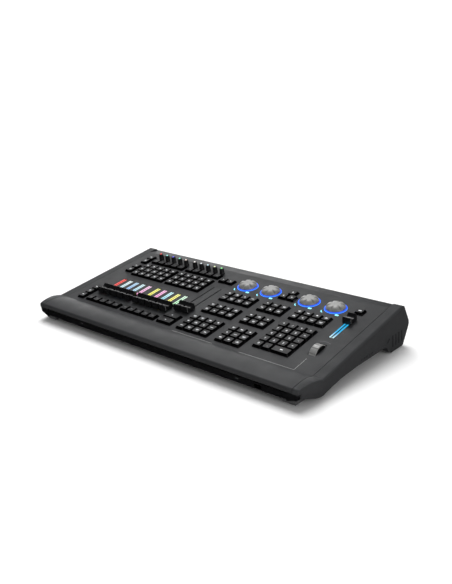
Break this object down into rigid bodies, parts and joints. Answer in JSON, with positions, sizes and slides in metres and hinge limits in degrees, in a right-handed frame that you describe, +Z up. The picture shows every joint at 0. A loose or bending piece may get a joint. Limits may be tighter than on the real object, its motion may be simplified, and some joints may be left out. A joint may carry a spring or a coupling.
{
  "type": "lighting control desk",
  "caption": "Low sloping stage-lighting control desk with lit playback faders, blocks of keys, large lit encoders, a level wheel and thick end cheeks.",
  "frame": {"origin": "on the floor, under the middle of the desk's outline", "axes": "+X to the operator's right, +Y away from the operator, +Z up"},
  "size_m": [0.653, 0.3574, 0.09],
  "materials": {
    "panel_metal": "fine matt texture",
    "cheek_plastic": "fine matt texture",
    "case_metal": "matt",
    "front_plastic": "satin",
    "rubber": "matt",
    "key_plastic": "satin",
    "fader_plastic": "satin",
    "knob_plastic": "satin",
    "silver_knob": "satin silver",
    "light_guide": "diffusing",
    "ring_light": "diffusing",
    "case_steel": "plated",
    "circuit_board": "solder mask",
    "bright_metal": "plated",
    "socket_plastic": "satin",
    "dark_screw": "black"
  },
  "bodies": {
    "chassis": {"top_panel": "panel_metal", "cheek_right": "cheek_plastic", "cheek_left": "cheek_plastic", "base_tray": "case_metal", "rear_panel": "case_metal", "front_rail": "front_plastic", "corner_blocks": "front_plastic", "rubber_feet": "rubber", "fader_light_guides": "light_guide", "encoder_light_rings": "ring_light", "fader_cases": "case_steel", "encoder_cases": "case_steel", "key_boards": "circuit_board", "main_electronics": "circuit_board", "front_usb_socket": "bright_metal", "rear_sockets": "socket_plastic", "case_screws": "dark_screw"},
    "left_column_keys": {"left_column_keys": "key_plastic"},
    "select_keys": {"select_keys": "key_plastic"},
    "execute_keys": {"execute_keys": "key_plastic"},
    "flash_keys": {"flash_keys": "key_plastic"},
    "master_keys": {"master_keys": "key_plastic"},
    "arrow_keys": {"arrow_keys": "key_plastic"},
    "left_upper_keys": {"left_upper_keys": "key_plastic"},
    "left_middle_keys": {"left_middle_keys": "key_plastic"},
    "left_lower_keys": {"left_lower_keys": "key_plastic"},
    "centre_upper_keys": {"centre_upper_keys": "key_plastic"},
    "centre_middle_keys": {"centre_middle_keys": "key_plastic"},
    "centre_lower_keys": {"centre_lower_keys": "key_plastic"},
    "right_upper_keys": {"right_upper_keys": "key_plastic"},
    "number_keys": {"number_keys": "key_plastic"},
    "menu_key": {"menu_key": "key_plastic"},
    "playback_fader_1": {"playback_fader_1": "fader_plastic"},
    "playback_fader_2": {"playback_fader_2": "fader_plastic"},
    "playback_fader_3": {"playback_fader_3": "fader_plastic"},
    "playback_fader_4": {"playback_fader_4": "fader_plastic"},
    "playback_fader_5": {"playback_fader_5": "fader_plastic"},
    "playback_fader_6": {"playback_fader_6": "fader_plastic"},
    "playback_fader_7": {"playback_fader_7": "fader_plastic"},
    "playback_fader_8": {"playback_fader_8": "fader_plastic"},
    "playback_fader_9": {"playback_fader_9": "fader_plastic"},
    "playback_fader_10": {"playback_fader_10": "fader_plastic"},
    "master_fader_1": {"master_fader_1": "fader_plastic"},
    "master_fader_2": {"master_fader_2": "fader_plastic"},
    "grand_master_fader": {"grand_master_fader": "fader_plastic"},
    "lit_knob_1": {"lit_knob_1": "knob_plastic"},
    "lit_knob_2": {"lit_knob_2": "knob_plastic"},
    "lit_knob_3": {"lit_knob_3": "knob_plastic"},
    "lit_knob_4": {"lit_knob_4": "knob_plastic"},
    "lit_knob_5": {"lit_knob_5": "knob_plastic"},
    "lit_knob_6": {"lit_knob_6": "knob_plastic"},
    "lit_knob_7": {"lit_knob_7": "knob_plastic"},
    "lit_knob_8": {"lit_knob_8": "knob_plastic"},
    "lit_knob_9": {"lit_knob_9": "knob_plastic"},
    "lit_knob_10": {"lit_knob_10": "knob_plastic"},
    "encoder_knob_1": {"encoder_knob_1": "silver_knob"},
    "encoder_knob_2": {"encoder_knob_2": "silver_knob"},
    "encoder_knob_3": {"encoder_knob_3": "silver_knob"},
    "encoder_knob_4": {"encoder_knob_4": "silver_knob"},
    "level_wheel": {"level_wheel": "silver_knob"}
  },
  "joints": [
    {"name": "left_column_press", "type": "slide", "parent": "chassis", "child": "left_column_keys", "axis": [0, 0.1736, -0.9848], "range_m": [0, 0.002], "stiffness_N_per_m": 1000, "springref_m": -0.002},
    {"name": "select_press", "type": "slide", "parent": "chassis", "child": "select_keys", "axis": [0, 0.1736, -0.9848], "range_m": [0, 0.002], "stiffness_N_per_m": 1000, "springref_m": -0.002},
    {"name": "execute_press", "type": "slide", "parent": "chassis", "child": "execute_keys", "axis": [0, 0.1736, -0.9848], "range_m": [0, 0.002], "stiffness_N_per_m": 1000, "springref_m": -0.002},
    {"name": "flash_press", "type": "slide", "parent": "chassis", "child": "flash_keys", "axis": [0, 0.1736, -0.9848], "range_m": [0, 0.002], "stiffness_N_per_m": 1000, "springref_m": -0.002},
    {"name": "master_press", "type": "slide", "parent": "chassis", "child": "master_keys", "axis": [0, 0.1736, -0.9848], "range_m": [0, 0.002], "stiffness_N_per_m": 1000, "springref_m": -0.002},
    {"name": "arrow_press", "type": "slide", "parent": "chassis", "child": "arrow_keys", "axis": [0, 0.1736, -0.9848], "range_m": [0, 0.002], "stiffness_N_per_m": 1000, "springref_m": -0.002},
    {"name": "left_upper_press", "type": "slide", "parent": "chassis", "child": "left_upper_keys", "axis": [0, 0.1736, -0.9848], "range_m": [0, 0.002], "stiffness_N_per_m": 1000, "springref_m": -0.002},
    {"name": "left_middle_press", "type": "slide", "parent": "chassis", "child": "left_middle_keys", "axis": [0, 0.1736, -0.9848], "range_m": [0, 0.002], "stiffness_N_per_m": 1000, "springref_m": -0.002},
    {"name": "left_lower_press", "type": "slide", "parent": "chassis", "child": "left_lower_keys", "axis": [0, 0.1736, -0.9848], "range_m": [0, 0.002], "stiffness_N_per_m": 1000, "springref_m": -0.002},
    {"name": "centre_upper_press", "type": "slide", "parent": "chassis", "child": "centre_upper_keys", "axis": [0, 0.1736, -0.9848], "range_m": [0, 0.002], "stiffness_N_per_m": 1000, "springref_m": -0.002},
    {"name": "centre_middle_press", "type": "slide", "parent": "chassis", "child": "centre_middle_keys", "axis": [0, 0.1736, -0.9848], "range_m": [0, 0.002], "stiffness_N_per_m": 1000, "springref_m": -0.002},
    {"name": "centre_lower_press", "type": "slide", "parent": "chassis", "child": "centre_lower_keys", "axis": [0, 0.1736, -0.9848], "range_m": [0, 0.002], "stiffness_N_per_m": 1000, "springref_m": -0.002},
    {"name": "right_upper_press", "type": "slide", "parent": "chassis", "child": "right_upper_keys", "axis": [0, 0.1736, -0.9848], "range_m": [0, 0.002], "stiffness_N_per_m": 1000, "springref_m": -0.002},
    {"name": "number_press", "type": "slide", "parent": "chassis", "child": "number_keys", "axis": [0, 0.1736, -0.9848], "range_m": [0, 0.002], "stiffness_N_per_m": 1000, "springref_m": -0.002},
    {"name": "menu_press", "type": "slide", "parent": "chassis", "child": "menu_key", "axis": [0, 0.1736, -0.9848], "range_m": [0, 0.002], "stiffness_N_per_m": 1000, "springref_m": -0.002},
    {"name": "playback_1_slide", "type": "slide", "parent": "chassis", "child": "playback_fader_1", "axis": [0, 0.9848, 0.1736], "range_m": [0, 0.06]},
    {"name": "playback_2_slide", "type": "slide", "parent": "chassis", "child": "playback_fader_2", "axis": [0, 0.9848, 0.1736], "range_m": [0, 0.06]},
    {"name": "playback_3_slide", "type": "slide", "parent": "chassis", "child": "playback_fader_3", "axis": [0, 0.9848, 0.1736], "range_m": [0, 0.06]},
    {"name": "playback_4_slide", "type": "slide", "parent": "chassis", "child": "playback_fader_4", "axis": [0, 0.9848, 0.1736], "range_m": [0, 0.06]},
    {"name": "playback_5_slide", "type": "slide", "parent": "chassis", "child": "playback_fader_5", "axis": [0, 0.9848, 0.1736], "range_m": [0, 0.06]},
    {"name": "playback_6_slide", "type": "slide", "parent": "chassis", "child": "playback_fader_6", "axis": [0, 0.9848, 0.1736], "range_m": [0, 0.06]},
    {"name": "playback_7_slide", "type": "slide", "parent": "chassis", "child": "playback_fader_7", "axis": [0, 0.9848, 0.1736], "range_m": [0, 0.06]},
    {"name": "playback_8_slide", "type": "slide", "parent": "chassis", "child": "playback_fader_8", "axis": [0, 0.9848, 0.1736], "range_m": [0, 0.06]},
    {"name": "playback_9_slide", "type": "slide", "parent": "chassis", "child": "playback_fader_9", "axis": [0, 0.9848, 0.1736], "range_m": [0, 0.06]},
    {"name": "playback_10_slide", "type": "slide", "parent": "chassis", "child": "playback_fader_10", "axis": [0, 0.9848, 0.1736], "range_m": [0, 0.06]},
    {"name": "master_1_slide", "type": "slide", "parent": "chassis", "child": "master_fader_1", "axis": [0, 0.9848, 0.1736], "range_m": [0, 0.1]},
    {"name": "master_2_slide", "type": "slide", "parent": "chassis", "child": "master_fader_2", "axis": [0, 0.9848, 0.1736], "range_m": [0, 0.1]},
    {"name": "grand_master_slide", "type": "slide", "parent": "chassis", "child": "grand_master_fader", "axis": [0, 0.9848, 0.1736], "range_m": [-0.06, 0]},
    {"name": "lit_knob_1_turn", "type": "hinge", "parent": "chassis", "child": "lit_knob_1", "pos_m": [-0.2473, 0.10921, 0.07446], "axis": [0, -0.1736, 0.9848], "continuous": true},
    {"name": "lit_knob_2_turn", "type": "hinge", "parent": "chassis", "child": "lit_knob_2", "pos_m": [-0.22825, 0.10921, 0.07446], "axis": [0, -0.1736, 0.9848], "continuous": true},
    {"name": "lit_knob_3_turn", "type": "hinge", "parent": "chassis", "child": "lit_knob_3", "pos_m": [-0.2092, 0.10921, 0.07446], "axis": [0, -0.1736, 0.9848], "continuous": true},
    {"name": "lit_knob_4_turn", "type": "hinge", "parent": "chassis", "child": "lit_knob_4", "pos_m": [-0.19015, 0.10921, 0.07446], "axis": [0, -0.1736, 0.9848], "continuous": true},
    {"name": "lit_knob_5_turn", "type": "hinge", "parent": "chassis", "child": "lit_knob_5", "pos_m": [-0.1711, 0.10921, 0.07446], "axis": [0, -0.1736, 0.9848], "continuous": true},
    {"name": "lit_knob_6_turn", "type": "hinge", "parent": "chassis", "child": "lit_knob_6", "pos_m": [-0.14545, 0.10921, 0.07446], "axis": [0, -0.1736, 0.9848], "continuous": true},
    {"name": "lit_knob_7_turn", "type": "hinge", "parent": "chassis", "child": "lit_knob_7", "pos_m": [-0.1264, 0.10921, 0.07446], "axis": [0, -0.1736, 0.9848], "continuous": true},
    {"name": "lit_knob_8_turn", "type": "hinge", "parent": "chassis", "child": "lit_knob_8", "pos_m": [-0.10735, 0.10921, 0.07446], "axis": [0, -0.1736, 0.9848], "continuous": true},
    {"name": "lit_knob_9_turn", "type": "hinge", "parent": "chassis", "child": "lit_knob_9", "pos_m": [-0.0883, 0.10921, 0.07446], "axis": [0, -0.1736, 0.9848], "continuous": true},
    {"name": "lit_knob_10_turn", "type": "hinge", "parent": "chassis", "child": "lit_knob_10", "pos_m": [-0.06925, 0.10921, 0.07446], "axis": [0, -0.1736, 0.9848], "continuous": true},
    {"name": "encoder_1_turn", "type": "hinge", "parent": "chassis", "child": "encoder_knob_1", "pos_m": [0.017, 0.08656, 0.07047], "axis": [0, -0.1736, 0.9848], "continuous": true},
    {"name": "encoder_2_turn", "type": "hinge", "parent": "chassis", "child": "encoder_knob_2", "pos_m": [0.074, 0.08656, 0.07047], "axis": [0, -0.1736, 0.9848], "continuous": true},
    {"name": "encoder_3_turn", "type": "hinge", "parent": "chassis", "child": "encoder_knob_3", "pos_m": [0.164, 0.08656, 0.07047], "axis": [0, -0.1736, 0.9848], "continuous": true},
    {"name": "encoder_4_turn", "type": "hinge", "parent": "chassis", "child": "encoder_knob_4", "pos_m": [0.222, 0.08656, 0.07047], "axis": [0, -0.1736, 0.9848], "continuous": true},
    {"name": "level_wheel_turn", "type": "hinge", "parent": "chassis", "child": "level_wheel", "pos_m": [0.27, -0.04914, 0.03385], "axis": [1, 0, 0], "continuous": true}
  ]
}
